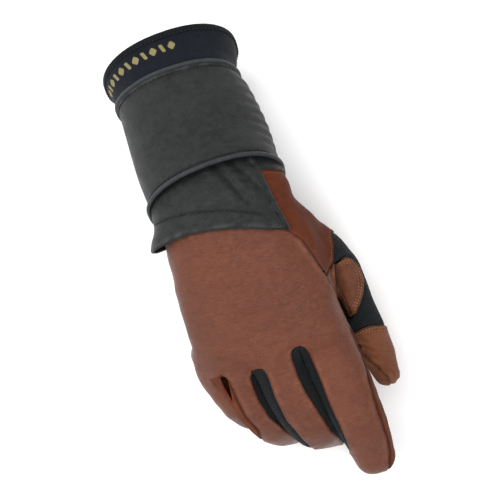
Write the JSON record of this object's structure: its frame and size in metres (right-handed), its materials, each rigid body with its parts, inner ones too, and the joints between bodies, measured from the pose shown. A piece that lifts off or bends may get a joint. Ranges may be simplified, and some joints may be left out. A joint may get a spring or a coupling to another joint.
{
  "type": "riding glove",
  "caption": "Right riding glove with a long forearm sleeve, standing palm down on its curled fingertips and sleeve end, in brown, tan and black leather with knit side walls.",
  "frame": {"origin": "floor under the middle of the glove's bounding box", "axes": "+Y towards the arm, -Y towards the fingertips, +X towards the thumb, +Z out of the back of the hand"},
  "size_m": [0.1221, 0.2982, 0.1093],
  "materials": {
    "brown_leather": "semi-smooth grain leather",
    "tan_leather": "matt grain leather",
    "black_leather": "soft pebbled leather",
    "piping_leather": "smooth bound edge",
    "black_knit": "ribbed stretch knit",
    "navy_neoprene": "matt fabric-faced foam"
  },
  "bodies": {
    "cuff": {"sleeve_leather_back": "black_leather", "sleeve_stretch_panel": "black_knit", "lower_piping": "piping_leather", "upper_piping": "piping_leather", "neoprene_sleeve": "navy_neoprene", "hem_binding": "navy_neoprene"},
    "hand": {"back_panel": "brown_leather", "palm_panel": "tan_leather", "thumb_gusset": "brown_leather", "thumb_base_knit": "black_knit", "web_patch": "tan_leather", "wrist_panel": "black_leather", "palm_patch": "tan_leather"},
    "index_root": {"index_back_root": "brown_leather", "index_palm_root": "tan_leather", "index_wall_little_side_root": "black_knit"},
    "index_tip": {"index_back_tip": "brown_leather", "index_palm_tip": "tan_leather", "index_wall_little_side_tip": "black_knit"},
    "middle_root": {"middle_back_root": "brown_leather", "middle_palm_root": "tan_leather", "middle_wall_little_side_root": "black_knit", "middle_wall_thumb_side_root": "black_knit"},
    "middle_tip": {"middle_back_tip": "brown_leather", "middle_palm_tip": "tan_leather", "middle_wall_little_side_tip": "black_knit", "middle_wall_thumb_side_tip": "black_knit"},
    "ring_root": {"ring_back_root": "brown_leather", "ring_palm_root": "tan_leather", "ring_wall_little_side_root": "brown_leather", "ring_wall_thumb_side_root": "black_knit"},
    "ring_tip": {"ring_back_tip": "brown_leather", "ring_palm_tip": "tan_leather", "ring_wall_little_side_tip": "brown_leather", "ring_wall_thumb_side_tip": "black_knit"},
    "little_root": {"little_back_root": "brown_leather", "little_palm_root": "tan_leather", "little_wall_thumb_side_root": "brown_leather"},
    "little_tip": {"little_back_tip": "brown_leather", "little_palm_tip": "tan_leather", "little_wall_thumb_side_tip": "brown_leather"},
    "thumb_root": {"thumb_knit_back": "black_knit", "thumb_inner_leather": "tan_leather"},
    "thumb_tip": {"thumb_cap": "tan_leather", "thumb_cap_inner_side": "tan_leather"}
  },
  "joints": [
    {"name": "wrist", "type": "hinge", "parent": "cuff", "child": "hand", "pos_m": [-0.01102, 0.04337, 0.0771], "axis": [1, 0, 0], "range_deg": [-15, 6]},
    {"name": "index_base", "type": "hinge", "parent": "hand", "child": "index_root", "pos_m": [0.01798, -0.06164, 0.0671], "axis": [0.9706, 0.0151, 0.2402], "range_deg": [-12, 15]},
    {"name": "index_mid", "type": "hinge", "parent": "index_root", "child": "index_tip", "pos_m": [0.01995, -0.09709, 0.06135], "axis": [0.9706, 0.0151, 0.2402], "range_deg": [-10.8, 13.5]},
    {"name": "middle_base", "type": "hinge", "parent": "hand", "child": "middle_root", "pos_m": [-0.01552, -0.06363, 0.0646], "axis": [0.9351, 0.1055, 0.3382], "range_deg": [-12, 28]},
    {"name": "middle_mid", "type": "hinge", "parent": "middle_root", "child": "middle_tip", "pos_m": [-0.00454, -0.10535, 0.04725], "axis": [0.9351, 0.1055, 0.3382], "range_deg": [-9.6, 22.4]},
    {"name": "ring_base", "type": "hinge", "parent": "hand", "child": "ring_root", "pos_m": [-0.03802, -0.06563, 0.0541], "axis": [0.911, 0.1691, 0.3763], "range_deg": [-8, 25]},
    {"name": "ring_mid", "type": "hinge", "parent": "ring_root", "child": "ring_tip", "pos_m": [-0.02395, -0.09779, 0.03449], "axis": [0.911, 0.1691, 0.3763], "range_deg": [-6.4, 20]},
    {"name": "little_base", "type": "hinge", "parent": "hand", "child": "little_root", "pos_m": [-0.05452, -0.05563, 0.0396], "axis": [0.8994, 0.2305, 0.3715], "range_deg": [-12, 28]},
    {"name": "little_mid", "type": "hinge", "parent": "little_root", "child": "little_tip", "pos_m": [-0.04212, -0.08047, 0.02498], "axis": [0.8994, 0.2305, 0.3715], "range_deg": [-9.6, 22.4]},
    {"name": "thumb_base", "type": "hinge", "parent": "hand", "child": "thumb_root", "pos_m": [0.03798, -0.02964, 0.0451], "axis": [0.7617, 0.3056, -0.5713], "range_deg": [-12, 14]},
    {"name": "thumb_mid", "type": "hinge", "parent": "thumb_root", "child": "thumb_tip", "pos_m": [0.04463, -0.05912, 0.0382], "axis": [0.7617, 0.3056, -0.5713], "range_deg": [-10.8, 12.6]}
  ],
  "couplings": [
    {"joint": "index_mid", "follows": "index_base", "ratio": 0.9},
    {"joint": "middle_mid", "follows": "middle_base", "ratio": 0.8},
    {"joint": "ring_mid", "follows": "ring_base", "ratio": 0.8},
    {"joint": "little_mid", "follows": "little_base", "ratio": 0.8},
    {"joint": "thumb_mid", "follows": "thumb_base", "ratio": 0.9}
  ]
}
